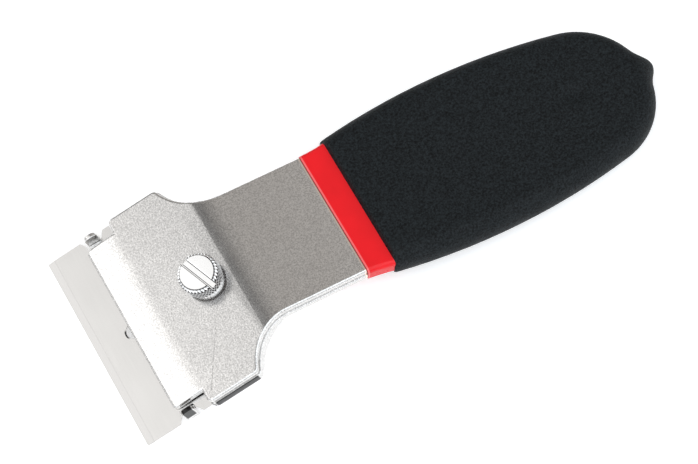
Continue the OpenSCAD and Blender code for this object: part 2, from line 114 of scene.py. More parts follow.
# Marks on the steel, in millimetres from the screw's foot. Each line says where a mark starts
# and ends in one direction, and how soft its edges are.
# Painted shade: a dark band on the tray's side walls, standing in for the shaded floor that they
# reflect
PAINTED_TRAY_SHADE = {"Side": (19.3, 30, 0.06), "Above": (-3.05, -1.15, 0.06), "Ahead": (0.4, 8.9, 0.1)}
# Painted dark reflection on the top and outer faces of the near lug
PAINTED_LUG_REFLECTION = {
    "Ahead": (12.6, 14.4, 0.05), "Across": (-18.8, -17.9, 0.05), "Above": (-2.3, 0.8, 0.02)}
# Painted shade: the ground edge is darkened so that its bright reflection stays below white
GROUND_EDGE = {"Ahead": (21.05, 60, 0.06)}
# Painted shadow at the rim of the blade's hole
PAINTED_HOLE_SHADOW = {"From hole": (1.42, 1.76, 0.05), "Across": (-0.75, 0.75, 0.2)}
# Painted shade in the knurl's pits
PAINTED_PIT_SHADE = {"From axis": (2.9, 3.55, 0.03), "Above": (0.9, 3.9, 0.02)}
SLOT_GAP = {"Across slot": (-0.63, 0.63, 0.02), "Above": (3.0, 6, 0.02)}
# Painted shade: a dark ring round the screw's flat face, at the top of its chamfer
FACE_RIM = {"From axis": (2.97, 3.15, 0.02), "Above": (4.0, 6, 0.02)}
# Painted shade: dark lines along the slot's walls, within the wall's height below
SLOT_LINES = ((-0.72, -0.55, 0.02), (-0.42, -0.3, 0.02), (0.53, 0.68, 0.02))
SLOT_WALL = {"Above": (2.9, 4.38, 0.02)}
# Share of the steel's colour that stays in these marks of painted shade, shadow and dark reflection
TRAY_SHADE_SHARE, LUG_SHADE, GROUND_SHADE, HOLE_SHADOW_SHARE = 0.03, 0.04, 0.75, 0.06
RIM_SHADE, LINE_SHADE = 0.16, 0.05
# Colour of the painted shade in the knurl's pits
PIT_SHADE_COLOUR = (0.03, 0.021, 0.018, 1)
# Centre of the blade's hole, ahead of the screw's foot in millimetres
BLADE_HOLE = 14.9
# Distance between the dents in the grip's skin
DENT_SIZE = 0.32 * MM
# The same kind of marks on the coat and the steel, in millimetres from the coat's front: a painted
# highlight and a painted shade line on the coat's front rim, and a painted reflection of the red coat
# on the steel in front of it
PAINTED_HIGHLIGHT_LINE, PAINTED_SHADE_LINE, PAINTED_REFLECTION_LINE = (0.1, 0.38, 0.05), (-1, 0.08, 0.03), (-0.28, 1, 0.05)
# Colours of the painted highlight and the painted reflection, and share of the red that stays in the
# painted shade line
PINK, PEACH, DARK_SHADE = (0.9, 0.16, 0.16, 1), (1.0, 0.85, 0.75, 1), 0.25


# Sizes and colours that a user may change
class ScraperSizes(bpy.types.PropertyGroup):
    plate_edge: bpy.props.FloatProperty(
        name="Plate edge", description="Radius of the steel plates' worn edges",
        default=0.16 * MM, min=0.02 * MM, max=0.4 * MM, unit="LENGTH", precision=5)
    rolled_edge: bpy.props.FloatProperty(
        name="Rolled edge", description="Radius of the upper plate's rim, rolled over by stamping",
        default=0.45 * MM, min=0.1 * MM, max=0.6 * MM, unit="LENGTH", precision=5)
    tray_edge: bpy.props.FloatProperty(
        name="Tray edge", description="Radius of the bend along the foot of the tray's side walls",
        default=1.0 * MM, min=0.3 * MM, max=1.2 * MM, unit="LENGTH", precision=5)
    coat_edge: bpy.props.FloatProperty(
        name="Undercoat edge", description="Radius of the red undercoat's edges",
        default=0.95 * MM, min=0.2 * MM, max=1.2 * MM, unit="LENGTH", precision=5)
    coat_lip: bpy.props.FloatProperty(
        name="Undercoat front", description="Radius of the red undercoat's front rim",
        default=0.22 * MM, min=0.05 * MM, max=0.3 * MM, unit="LENGTH", precision=5)
    grip_voxel: bpy.props.FloatProperty(
        name="Grip mesh", description="Size of the grip's mesh faces",
        default=0.38 * MM, min=0.3 * MM, max=1 * MM, unit="LENGTH", precision=5)
    face_r: bpy.props.FloatProperty(
        name="Screw face", description="Radius of the thumb screw's flat top",
        default=3.0 * MM, min=2.5 * MM, max=3.4 * MM, unit="LENGTH", precision=5)
    knurl_r: bpy.props.FloatProperty(
        name="Knurl", description="Radius over the thumb screw's knurl",
        default=3.6 * MM, min=3.4 * MM, max=3.6 * MM, unit="LENGTH", precision=5)
    knurl_pit: bpy.props.FloatProperty(
        name="Knurl pits", description="Depth of the knurl's pits",
        default=0.3 * MM, min=0.1 * MM, max=0.4 * MM, unit="LENGTH", precision=5)
    head_h: bpy.props.FloatProperty(
        name="Screw head", description="Height of the thumb screw's head",
        default=4.45 * MM, min=3 * MM, max=4.45 * MM, unit="LENGTH", precision=5)
    foot_r: bpy.props.FloatProperty(
        name="Screw foot", description="Radius of the plain foot under the knurl",
        default=3.1 * MM, min=2.8 * MM, max=3.2 * MM, unit="LENGTH", precision=5)
    foot_h: bpy.props.FloatProperty(
        name="Foot height", description="Height of the plain foot under the knurl",
        default=0.85 * MM, min=0.5 * MM, max=1 * MM, unit="LENGTH", precision=5)
    slot_edge: bpy.props.FloatProperty(
        name="Slot edge", description="Radius of the slot's worn edges",
        default=0.12 * MM, min=0.02 * MM, max=0.3 * MM, unit="LENGTH", precision=5)


class ScraperColours(bpy.types.PropertyGroup):
    plate: bpy.props.FloatVectorProperty(
        name="Plates", description="Colour of the plated steel",
        default=(0.78, 0.765, 0.75), min=0, max=1, size=3, subtype="COLOR")
    blade: bpy.props.FloatVectorProperty(
        name="Blade", description="Colour of the blade steel",
        default=(0.65, 0.637, 0.622), min=0, max=1, size=3, subtype="COLOR")
    screw: bpy.props.FloatVectorProperty(
        name="Screw", description="Colour of the bright plating",
        default=(0.95, 0.945, 0.94), min=0, max=1, size=3, subtype="COLOR")
    red: bpy.props.FloatVectorProperty(
        name="Undercoat", description="Colour of the red vinyl",
        default=(0.84, 0.01, 0.016), min=0, max=1, size=3, subtype="COLOR")
    black: bpy.props.FloatVectorProperty(
        name="Grip", description="Colour of the black vinyl",
        default=(0.0075, 0.0096, 0.0108), min=0, max=1, size=3, subtype="COLOR")
    floor: bpy.props.FloatVectorProperty(
        name="Floor", description="Colour of the floor",
        default=(0.9, 0.9, 0.9), min=0, max=1, size=3, subtype="COLOR")


# Helpers for modelling
def select_only(obj):
    """Selects obj alone and makes it the active object."""
    for o in bpy.context.view_layer.objects:
        o.select_set(False)
    obj.hide_viewport = False
    obj.select_set(True)
    bpy.context.view_layer.objects.active = obj


def edit(obj, *steps):
    """Runs each step in edit mode on the whole mesh of obj, selected at the start."""
    select_only(obj)
    bpy.ops.object.mode_set(mode="EDIT")
    bpy.ops.mesh.select_mode(type="VERT")
    bpy.ops.mesh.select_all(action="SELECT")
    for step in steps:
        step()
    bpy.ops.object.mode_set(mode="OBJECT")


def select_faces(obj, test):
    """Selects the faces of obj whose centre and normal pass the test, and nothing else."""
    bpy.ops.object.mode_set(mode="EDIT")
    bpy.ops.mesh.select_mode(type="FACE")
    bpy.ops.mesh.select_all(action="DESELECT")
    bpy.ops.object.mode_set(mode="OBJECT")
    for f in obj.data.polygons:
        f.select = bool(test(f.center, f.normal))
    bpy.ops.object.mode_set(mode="EDIT")


def select_edges(obj, test):
    """Selects the edges of obj whose two ends pass the test, and nothing else."""
    select_only(obj)
    bpy.ops.object.mode_set(mode="EDIT")
    bpy.ops.mesh.select_mode(type="EDGE")
    bpy.ops.mesh.select_all(action="DESELECT")
    bpy.ops.object.mode_set(mode="OBJECT")
    points = obj.data.vertices
    for e in obj.data.edges:
        e.select = bool(test(points[e.vertices[0]].co, points[e.vertices[1]].co))
    bpy.ops.object.mode_set(mode="EDIT")


def select_points(obj, test):
    """Selects the points of obj that pass the test, and nothing else."""
    select_only(obj)
    bpy.ops.object.mode_set(mode="EDIT")
    bpy.ops.mesh.select_mode(type="VERT")
    bpy.ops.mesh.select_all(action="DESELECT")
    bpy.ops.object.mode_set(mode="OBJECT")
    for v in obj.data.vertices:
        v.select = bool(test(v.co))
    bpy.ops.object.mode_set(mode="EDIT")


def move_where(obj, test, step):
    """Moves the points that pass the test."""
    select_points(obj, test)
    bpy.ops.transform.translate(value=step)
    bpy.ops.object.mode_set(mode="OBJECT")


def resize_where(obj, test, factor):
    """Moves the points that pass the test toward or away from the screw's axis."""
    select_points(obj, test)
    bpy.ops.transform.resize(value=(factor, factor, 1), center_override=(0, 0, 0))
    bpy.ops.object.mode_set(mode="OBJECT")


def bevel_selected(radius, segments):
    """Rounds the selected edges and goes back to object mode."""
    bpy.ops.mesh.bevel(offset=radius, segments=segments, affect="EDGES", clamp_overlap=False)
    bpy.ops.object.mode_set(mode="OBJECT")


def bevel_edges(obj, test, radius, segments):
    """Rounds only the edges whose two ends pass the test."""
    select_edges(obj, test)
    bevel_selected(radius, segments)


def join_flats(degrees):
    """Joins the selected faces that lie flat to each other within the angle."""
    bpy.ops.mesh.dissolve_limited(angle_limit=math.radians(degrees))


def on_head(place):
    """Place along, across and above the head, from the screw's foot."""
    offset = place - SCREW_FOOT
    return offset.dot(AHEAD), offset.y, offset.dot(SCREW_AXIS)


def copy_of(node, name):
    """A merged copy of a CAD node's mesh, with its flat faces in one piece each."""
    mesh = frame["nodes"][node].data.copy()
    mesh.materials.clear()
    obj = bpy.data.objects.new(name, mesh)
    bpy.context.scene.collection.objects.link(obj)
    mesh.validate()
    if mesh.has_custom_normals:
        select_only(obj)
        bpy.ops.mesh.customdata_custom_splitnormals_clear()
    edit(
        obj,
        lambda: bpy.ops.mesh.remove_doubles(threshold=1e-6),
        lambda: join_flats(FLAT_IN_NODE),
    )
    return obj


def apply_modifier(obj, kind, name, **values):
    """Adds a modifier with these settings and applies it."""
    modifier = obj.modifiers.new(name, kind)
    for key, value in values.items():
        setattr(modifier, key, value)
    select_only(obj)
    bpy.ops.object.modifier_apply(modifier=name)


def round_edges(obj, radius, segments=3, angle=30):
    """Rounds every edge sharper than the angle, and shades the flat faces flat."""
    apply_modifier(
        obj, "BEVEL", "Rounded edges", width=radius, segments=segments, limit_method="ANGLE",
        angle_limit=math.radians(angle), use_clamp_overlap=False, harden_normals=False,
        miter_outer="MITER_ARC",
    )
    shade_flats(obj, angle + 10)


def shade_flats(obj, angle):
    """Shades smooth below the angle, with the flat faces kept flat."""
    select_only(obj)
    bpy.ops.object.shade_smooth_by_angle(angle=math.radians(angle))
    apply_modifier(obj, "WEIGHTED_NORMAL", "Flat faces", keep_sharp=True, weight=100)


def finish_piece(obj, material, body, slot, *nodes):
    """Gives a finished piece its material and body, and hides the nodes that it replaces. The slot is
    not used.
    """
    obj.data.materials.clear()
    obj.data.materials.append(material)
    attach(obj, body)
    if nodes:
        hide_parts(*nodes)
    return obj


# Helpers for materials
class Nodes:
    """Adds nodes to a tree and links them."""

    def __init__(self, tree):
        self.tree = tree

    def add(self, kind, inputs=(), **values):
        node = self.tree.nodes.new(kind)
        for key, value in values.items():
            setattr(node, key, value)
        for key, value in dict(inputs).items():
            if isinstance(value, bpy.types.NodeSocket):
                self.tree.links.new(value, node.inputs[key])
            else:
                node.inputs[key].default_value = value
        return node

    def link(self, out, into):
        self.tree.links.new(out, into)


def speckle_group():
    """Fine speckle of a blasted or foamed surface: a height, and a mask of its darker grains."""
    name = "Speckle"
    if name in bpy.data.node_groups:
        return bpy.data.node_groups[name]
    tree = bpy.data.node_groups.new(name, "ShaderNodeTree")
    for label, value in (("Grain size", 0.25), ("Mottle size", 2.0), ("Roughness", 0.6)):
        socket = tree.interface.new_socket(
            name=label, in_out="INPUT", socket_type="NodeSocketFloat")
        socket.default_value = value
    for label in ("Height", "Grains", "Mottle"):
        tree.interface.new_socket(name=label, in_out="OUTPUT", socket_type="NodeSocketFloat")
    n = Nodes(tree)
    given, out = tree.nodes.new("NodeGroupInput"), tree.nodes.new("NodeGroupOutput")
    place = n.add("ShaderNodeTexCoord").outputs["Object"]
    scales = [
        calc(n, "DIVIDE", 1 / MM, given.outputs[label])
        for label in ("Grain size", "Mottle size")
    ]
    fine = n.add("ShaderNodeTexNoise", {
        "Vector": place, "Scale": scales[0], "Detail": 3.0, "Roughness": given.outputs["Roughness"]})
    broad = n.add("ShaderNodeTexNoise", {"Vector": place, "Scale": scales[1], "Detail": 2.0})
    grains = n.add("ShaderNodeMapRange", {
        "Value": fine.outputs["Fac"], "From Min": 0.36, "From Max": 0.64})
    mottle = n.add("ShaderNodeMapRange", {
        "Value": broad.outputs["Fac"], "From Min": 0.3, "From Max": 0.7})
    n.link(fine.outputs["Fac"], out.inputs["Height"])
    n.link(grains.outputs["Result"], out.inputs["Grains"])
    n.link(mottle.outputs["Result"], out.inputs["Mottle"])
    return tree


def speckle(n, grain, mottle, roughness=0.6):
    """The speckle with these sizes of grain and mottle, in millimetres."""
    node = n.tree.nodes.new("ShaderNodeGroup")
    node.node_tree = speckle_group()
    node.inputs["Grain size"].default_value = grain
    node.inputs["Mottle size"].default_value = mottle
    node.inputs["Roughness"].default_value = roughness
    return node


def head_group():
    """Place on the head from the screw's foot, and distance from its axis, in millimetres."""
    name = "Place on head"
    if name in bpy.data.node_groups:
        return bpy.data.node_groups[name]
    tree = bpy.data.node_groups.new(name, "ShaderNodeTree")
    for label in ("Ahead", "Across", "Above", "From axis"):
        tree.interface.new_socket(name=label, in_out="OUTPUT", socket_type="NodeSocketFloat")
    n = Nodes(tree)
    out = tree.nodes.new("NodeGroupOutput")
    place = n.add("ShaderNodeTexCoord").outputs["Object"]
    offset = n.add("ShaderNodeVectorMath", {0: place, 1: SCREW_FOOT}, operation="SUBTRACT")
    offset = n.add(
        "ShaderNodeVectorMath", {0: offset.outputs[0], "Scale": 1 / MM}, operation="SCALE").outputs[0]
    parts = {}
    for label, way in (("Ahead", AHEAD), ("Across", ACROSS), ("Above", SCREW_AXIS)):
        dot = n.add("ShaderNodeVectorMath", {0: offset, 1: way}, operation="DOT_PRODUCT")
        parts[label] = dot.outputs["Value"]
        n.link(parts[label], out.inputs[label])
    n.link(length(n, parts["Ahead"], parts["Across"]), out.inputs["From axis"])
    return tree


def length(n, a, b):
    """Length of the vector with these two parts."""
    both = n.add("ShaderNodeCombineXYZ", {"X": a, "Y": b}).outputs[0]
    return n.add("ShaderNodeVectorMath", {0: both}, operation="LENGTH").outputs["Value"]


def place_on_head(n):
    """The group's outputs by name."""
    node = n.tree.nodes.new("ShaderNodeGroup")
    node.node_tree = head_group()
    return {out.name: out for out in node.outputs}


def along_coat(n):
    """Place along the tool from the front of the red coat, in millimetres."""
    place = n.add("ShaderNodeTexCoord").outputs["Object"]
    along = n.add("ShaderNodeSeparateXYZ", {0: place}).outputs["X"]
    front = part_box("red_undercoat")[0].x
    return calc(n, "SUBTRACT", calc(n, "MULTIPLY", along, 1 / MM), front / MM)


def calc(n, operation, a, b, clamp=False):
    """Works out one sum of two sockets or numbers."""
    return n.add("ShaderNodeMath", {0: a, 1: b}, operation=operation, use_clamp=clamp).outputs[0]


def product(n, *values):
    """The product of sockets or numbers."""
    total = values[0]
    for value in values[1:]:
        total = calc(n, "MULTIPLY", total, value)
    return total


def band(n, value, start, end, soft):
    """1 where the value lies between start and end, and 0 outside."""
    sides = []
    for low, high in ((start - soft, start + soft), (end + soft, end - soft)):
        side = n.add("ShaderNodeMapRange", {"Value": value, "From Min": low, "From Max": high})
        sides.append(side.outputs["Result"])
    return product(n, *sides)


def inside(n, place, mark):
    """1 inside a mark and 0 outside it."""
    return product(n, *(band(n, place[key], *ends) for key, ends in mark.items()))


def mix(n, factor, a, b, blend="MIX"):
    """Mixes two colours, each a socket or a value."""
    node = n.add("ShaderNodeMix", data_type="RGBA", blend_type=blend)
    for key, value in ((0, factor), (6, a), (7, b)):
        if isinstance(value, bpy.types.NodeSocket):
            n.link(value, node.inputs[key])
        else:
            node.inputs[key].default_value = value
    return node.outputs[2]


def spread(n, value, low, high):
    """Spreads a value from 0 to 1 over another range."""
    node = n.add("ShaderNodeMapRange", {"Value": value, "To Min": low, "To Max": high})
    return node.outputs["Result"]


def bump(n, bsdf, strength, depth, height):
    """Bumps the surface by a height, with the depth in millimetres."""
    node = n.add("ShaderNodeBump", {"Strength": strength, "Distance": depth * MM, "Height": height})
    n.link(node.outputs["Normal"], bsdf.inputs["Normal"])


def new_material(name):
    """A new material, its nodes and its main shader."""
    material = bpy.data.materials.new(name)
    material.use_nodes = True
    n = Nodes(material.node_tree)
    return material, n, material.node_tree.nodes["Principled BSDF"]


def shade(colour, factor):
    """A darker or lighter colour."""
    return (*(part * factor for part in colour), 1.0)


def steel_material(name, colour, rough, grain, depth, contrast):
    """Plated steel: fine grains in its colour, its gloss and its surface."""
    material, n, bsdf = new_material(name)
    grains = speckle(n, grain, mottle=6.0)
    dark, light = shade(colour, 1 - contrast), shade(colour, 1 + contrast / 3)
    base = mix(n, grains.outputs["Grains"], dark, light)
    n.link(base, bsdf.inputs["Base Color"])
    gloss = spread(n, grains.outputs["Mottle"], rough - 0.03, rough + 0.04)
    n.link(gloss, bsdf.inputs["Roughness"])
    bump(n, bsdf, 1.0, depth, grains.outputs["Height"])
    bsdf.inputs["Metallic"].default_value = 1.0
    return material, n, bsdf, base


def blade_material(colour):
    """Ground blade steel: faint lapping marks, painted shade on the ground edge and a painted shadow
    at the rim of the hole.
    """
    material, n, bsdf = new_material("Blade steel")
    spot = n.add("ShaderNodeTexCoord").outputs["Object"]
    stretched = n.add("ShaderNodeMapping", {"Vector": spot, "Scale": (3000.0, 150.0, 3000.0)})
    marks = n.add("ShaderNodeTexNoise", {
        "Vector": stretched.outputs["Vector"], "Scale": 1.0, "Detail": 2.0})
    grains = speckle(n, grain=0.5, mottle=9.0)
    base = mix(n, grains.outputs["Mottle"], shade(colour, 0.98), shade(colour, 1.02))
    place = place_on_head(n)
    place["From hole"] = length(n, calc(n, "SUBTRACT", place["Ahead"], BLADE_HOLE), place["Across"])
    # Painted shade on the ground edge
    base = mix(n, inside(n, place, GROUND_EDGE), base, shade(colour, GROUND_SHADE))
    # Painted shadow at the rim of the blade's hole
    base = mix(n, inside(n, place, PAINTED_HOLE_SHADOW), base, shade(colour, HOLE_SHADOW_SHARE))
    n.link(base, bsdf.inputs["Base Color"])
    n.link(spread(n, marks.outputs["Fac"], 0.15, 0.21), bsdf.inputs["Roughness"])
    bump(n, bsdf, 0.5, 0.002, marks.outputs["Fac"])
    bsdf.inputs["Metallic"].default_value = 1.0
    return material


def red_material(colour):
    """Smooth dipped vinyl with a faint flow, and a painted highlight line and a painted shade line at
    its front.
    """
    material, n, bsdf = new_material("Red vinyl")
    grains = speckle(n, grain=0.4, mottle=5.0)
    base = mix(n, grains.outputs["Mottle"], shade(colour, 0.94), shade(colour, 1.02))
    along = along_coat(n)
    # Painted highlight along the coat's front rim
    base = mix(n, band(n, along, *PAINTED_HIGHLIGHT_LINE), base, PINK)
    # Painted shade line at the coat's front
    base = mix(n, band(n, along, *PAINTED_SHADE_LINE), base, shade(colour, DARK_SHADE))
    n.link(base, bsdf.inputs["Base Color"])
    n.link(spread(n, grains.outputs["Grains"], 0.16, 0.22), bsdf.inputs["Roughness"])
    bump(n, bsdf, 0.5, 0.02, grains.outputs["Mottle"])
    bsdf.inputs["Specular IOR Level"].default_value = 0.3
    return material


def black_material(colour):
    """Foamed vinyl: a fine pebble grain with small dents."""
    material, n, bsdf = new_material("Black vinyl")
    grains = speckle(n, grain=0.34, mottle=3.0, roughness=0.75)
    place = n.add("ShaderNodeTexCoord").outputs["Object"]
    cells = n.add("ShaderNodeTexVoronoi", {"Vector": place, "Scale": 1 / DENT_SIZE})
    dents = spread(n, cells.outputs["Distance"], 0.0, 1.0)
    base = mix(n, grains.outputs["Grains"], shade(colour, 0.02), shade(colour, 2.3))
    n.link(base, bsdf.inputs["Base Color"])
    n.link(spread(n, grains.outputs["Mottle"], 0.55, 0.68), bsdf.inputs["Roughness"])
    bump(n, bsdf, 1.0, 0.05, calc(n, "ADD", grains.outputs["Height"], dents))
    bsdf.inputs["Specular IOR Level"].default_value = 0.16
    return material


def plate_material():
    """Satin plating, with painted shade on the tray's side walls, a painted dark reflection on the
    near lug and a painted reflection of the red coat in front of it.
    """
    name = "Plate steel"
    if name in bpy.data.materials:
        return bpy.data.materials[name]
    colour = bpy.context.scene.scraper_colours.plate
    material, n, bsdf, base = steel_material(
        name, colour, rough=0.2, grain=0.25, depth=0.01, contrast=0.3)
    place = place_on_head(n)
    place["Side"] = n.add("ShaderNodeMath", {0: place["Across"]}, operation="ABSOLUTE").outputs[0]
    # Painted shade on the tray's side walls
    base = mix(n, inside(n, place, PAINTED_TRAY_SHADE), base, shade(colour, TRAY_SHADE_SHARE))
    # Painted dark reflection on the near lug
    base = mix(n, inside(n, place, PAINTED_LUG_REFLECTION), base, shade(colour, LUG_SHADE))
    # Painted reflection of the red coat on the steel in front of it
    base = mix(n, band(n, along_coat(n), *PAINTED_REFLECTION_LINE), base, PEACH)
    n.link(base, bsdf.inputs["Base Color"])
    return material


def screw_material():
    """Bright plating, with painted shade in the knurl's pits and painted dark lines round the face
    and along the slot.
    """
    name = "Screw plating"
    if name in bpy.data.materials:
        return bpy.data.materials[name]
    colour = bpy.context.scene.scraper_colours.screw
    material, n, bsdf, base = steel_material(
        name, colour, rough=0.1, grain=0.4, depth=0.001, contrast=0.03)
    place = place_on_head(n)
    place["Across slot"] = calc(
        n, "ADD", product(n, place["Ahead"], -math.cos(SLOT_ANGLE)),
        product(n, place["Across"], math.sin(SLOT_ANGLE)))
    beside_slot = calc(n, "SUBTRACT", 1.0, inside(n, place, SLOT_GAP))
    # Painted shade in the knurl's pits, kept out of the slot; there the screw loses its metal
    # reflection too
    pit_shade = product(n, inside(n, place, PAINTED_PIT_SHADE), beside_slot)
    base = mix(n, pit_shade, base, PIT_SHADE_COLOUR)
    n.link(calc(n, "SUBTRACT", 1.0, pit_shade), bsdf.inputs["Metallic"])
    # Painted dark ring round the screw's flat face
    rim = product(n, inside(n, place, FACE_RIM), beside_slot)
    base = mix(n, rim, base, shade(colour, RIM_SHADE))
    # Painted dark lines along the slot's walls
    wall = inside(n, place, SLOT_WALL)
    for ends in SLOT_LINES:
        line = product(n, band(n, place["Across slot"], *ends), wall)
        base = mix(n, line, base, shade(colour, LINE_SHADE))
    n.link(base, bsdf.inputs["Base Color"])
    return material


# Pieces
class SCRAPER_OT_plates(bpy.types.Operator):
    """Makes the two stamped plates with rounded edges"""

    bl_idname = "scraper.plates"
    bl_label = "Plates"

    def execute(self, context):
        sizes = context.scene.scraper_sizes
        for node in ("upper_plate", "lower_plate"):
            plate = copy_of(node, node + "_finished")
            if node == "lower_plate":
                bevel_edges(plate, on_tray_foot, sizes.tray_edge, segments=6)
            else:
                select_rolled_rim(plate)
                bevel_selected(sizes.rolled_edge, segments=5)
            round_edges(plate, sizes.plate_edge)
            edit(plate, lambda: join_flats(FLAT_IN_PLATE))
            finish_piece(plate, plate_material(), TOOL, "plate_steel", node)
        return {"FINISHED"}


# The upper plate's hole for the screw lies within this radius
HOLE_REACH = 4 * MM
# A face whose normal rises more than the first is an upper one, and less than the second a side
UPPER_FACE, SIDE_FACE = math.cos(math.radians(45)), 0.5


def select_rolled_rim(plate):
    """Selects the upper rim that stamping rolled over, all round the plate but not in its hole."""
    def ends(a, b):
        return frozenset((a.to_tuple(6), b.to_tuple(6)))

    faces_at = {}
    for f in plate.data.polygons:
        for key in f.edge_keys:
            faces_at.setdefault(key, []).append(f.normal.z)
    points = plate.data.vertices
    rim = set()
    for key, rises in faces_at.items():
        a, b = (points[k].co for k in key)
        ahead, across, _ = on_head((a + b) / 2)
        in_hole = math.hypot(ahead, across) < HOLE_REACH
        if max(rises) > UPPER_FACE and min(rises) < SIDE_FACE and not in_hole:
            rim.add(ends(a, b))
    select_edges(plate, lambda a, b: ends(a, b) in rim)


# Underside of the tray below the head's top face, and the least half width of its walls
TRAY_FOOT, TRAY_HALF = -3.75 * MM, 17 * MM


def on_tray_foot(a, b):
    """True for an edge along the outer foot of the tray's side walls."""
    for place in (a, b):
        _, across, above = on_head(place)
        if abs(above - TRAY_FOOT) > 2 * NEAR or abs(across) < TRAY_HALF:
            return False
    return True


class SCRAPER_OT_blade(bpy.types.Operator):
    """Finishes the blade and its folded spine"""

    bl_idname = "scraper.blade"
    bl_label = "Blade"

    def execute(self, context):
        steel = blade_material(context.scene.scraper_colours.blade)
        for node in ("razor_blade", "blade_spine"):
            obj = frame["nodes"][node]
            obj.data.materials.clear()
            obj.data.materials.append(steel)
        return {"FINISHED"}


class SCRAPER_OT_thumb_screw(bpy.types.Operator):
    """Makes the knurled, slotted and threaded thumb screw"""

    bl_idname = "scraper.thumb_screw"
    bl_label = "Thumb screw"

    def execute(self, context):
        sizes = context.scene.scraper_sizes
        screw = turned_piece("thumb_screw_finished", screw_rings(sizes), COLUMNS)
        knurl(screw, sizes)
        thread(screw, sizes)
        cut_slot(screw, sizes)
        apply_modifier(
            screw, "BEVEL", "Worn edges", width=WORN_EDGE, segments=2, limit_method="ANGLE",
            angle_limit=math.radians(SCREW_SHARP), use_clamp_overlap=True)
        screw.rotation_euler = (0, -HEAD_ANGLE, 0)
        screw.location = SCREW_FOOT
        select_only(screw)
        bpy.ops.object.transform_apply(location=True, rotation=True, scale=True)
        shade_flats(screw, SCREW_SMOOTH)
        finish_piece(screw, screw_material(), "thumb_screw", "screw_chrome", "thumb_screw")
        return {"FINISHED"}


def knurl_heights(sizes):
    """Heights of the knurl's rows of points."""
    step = math.tau * sizes.knurl_r / COLUMNS
    low, high = sizes.foot_h + step, sizes.head_h - (sizes.knurl_r - sizes.face_r)
    rows = round((high - low) / (step * KNURL_STRETCH))
    return [low + (high - low) * k / rows for k in range(rows + 1)]


def screw_rings(sizes):
    """Heights and radii of the screw from its tip to its top face."""
    heights = knurl_heights(sizes)
    chamfer = sizes.knurl_r - sizes.face_r
    rings = [(TIP, GROOVE_R), (GROOVE_BOTTOM, SHANK_R)]
    rings += [(GROOVE_BOTTOM, GROOVE_R), (GROOVE_TOP, GROOVE_R)]
    rows = int(-GROOVE_TOP / PITCH * THREAD_ROWS)
    rings += [(GROOVE_TOP + k * PITCH / THREAD_ROWS, SHANK_R) for k in range(rows)]
    rings += [(0, SHANK_R), (0, sizes.foot_r), (sizes.foot_h, sizes.foot_r)]
    rings += [(z, sizes.knurl_r) for z in heights]
    rings.append((heights[-1] + chamfer / 2, sizes.knurl_r - chamfer / 2))
    rings.append((sizes.head_h, sizes.face_r))
    return rings


def turned_piece(name, rings, columns):
    """A closed round piece: a circle, extruded and resized from ring to ring, and filled."""
    select_only(next(iter(frame["nodes"].values())))
    z, r = rings[0]
    bpy.ops.mesh.primitive_circle_add(
        vertices=columns, radius=r, fill_type="NGON", location=(0, 0, 0))
    obj = bpy.context.active_object
    obj.name = name
    bpy.ops.object.mode_set(mode="EDIT")
    bpy.ops.mesh.select_all(action="SELECT")
    bpy.ops.transform.translate(value=(0, 0, z))
    for next_z, next_r in rings[1:]:
        bpy.ops.mesh.extrude_region_move(TRANSFORM_OT_translate={"value": (0, 0, next_z - z)})
        factor = next_r / r
        bpy.ops.transform.resize(value=(factor, factor, 1), center_override=(0, 0, next_z))
        z, r = next_z, next_r
    bpy.ops.mesh.select_all(action="SELECT")
    bpy.ops.mesh.normals_make_consistent(inside=False)
    bpy.ops.object.mode_set(mode="OBJECT")
    return obj


def column(place):
    """Number of the column of points that a place on the screw lies in."""
    return round(math.atan2(place.y, place.x) / math.tau * COLUMNS) % COLUMNS


def knurl(screw, sizes):
    """Every second point of the knurl's grid sinks into a pit, and ridges join the others."""
    heights = knurl_heights(sizes)
    heights.append(heights[-1] + (sizes.knurl_r - sizes.face_r) / 2)

    def parity(place):
        near = min(range(len(heights)), key=lambda k: abs(heights[k] - place.z))
        if abs(heights[near] - place.z) > NEAR:
            return None
        return (near + column(place)) % 2

    select_points(screw, lambda place: parity(place) == 1)
    bpy.ops.mesh.vert_connect()
    bpy.ops.object.mode_set(mode="OBJECT")
    resize_where(screw, lambda place: parity(place) == 0, 1 - sizes.knurl_pit / sizes.knurl_r)


# The thread starts above this row of points, and a point is in a row if it lies this near to it
THREAD_START, ROW_SLACK = 1.5, 0.05


def thread(screw, sizes):
    """Sinks the points between the thread's ridges, row by row along the helix."""
    share = COLUMNS // THREAD_ROWS
    for phase in range(1, THREAD_ROWS):
        depth = 1 - abs(phase - THREAD_ROWS / 2) / (THREAD_ROWS / 2)

        def in_phase(place):
            row = (place.z - GROOVE_TOP) / PITCH * THREAD_ROWS
            if row < THREAD_START or place.z > THREAD_END or abs(row - round(row)) > ROW_SLACK:
                return False
            return ((round(row) * share - column(place)) % COLUMNS) // share == phase

        resize_where(screw, in_phase, 1 - THREAD_DEPTH * depth / SHANK_R)


def cut_slot(screw, sizes):
    """Cuts the coin slot and wears its upper edges."""
    bpy.ops.mesh.primitive_cube_add(size=1, location=(0, 0, sizes.head_h))
    cutter = bpy.context.active_object
    cutter.scale = (SLOT_W, 4 * sizes.knurl_r, 2 * SLOT_DEPTH)
    cutter.rotation_euler = (0, 0, SLOT_ANGLE)
    bpy.ops.object.transform_apply(location=True, rotation=True, scale=True)
    apply_modifier(screw, "BOOLEAN", "Slot", operation="DIFFERENCE", solver="EXACT", object=cutter)
    bpy.data.objects.remove(cutter)
    across = Vector((math.cos(SLOT_ANGLE), math.sin(SLOT_ANGLE), 0))

    def on_rim(place):
        at_top = abs(place.z - sizes.head_h) < NEAR
        return at_top and abs(abs(place.dot(across)) - SLOT_W / 2) < NEAR

    bevel_edges(screw, lambda a, b: on_rim(a) and on_rim(b), sizes.slot_edge, segments=3)


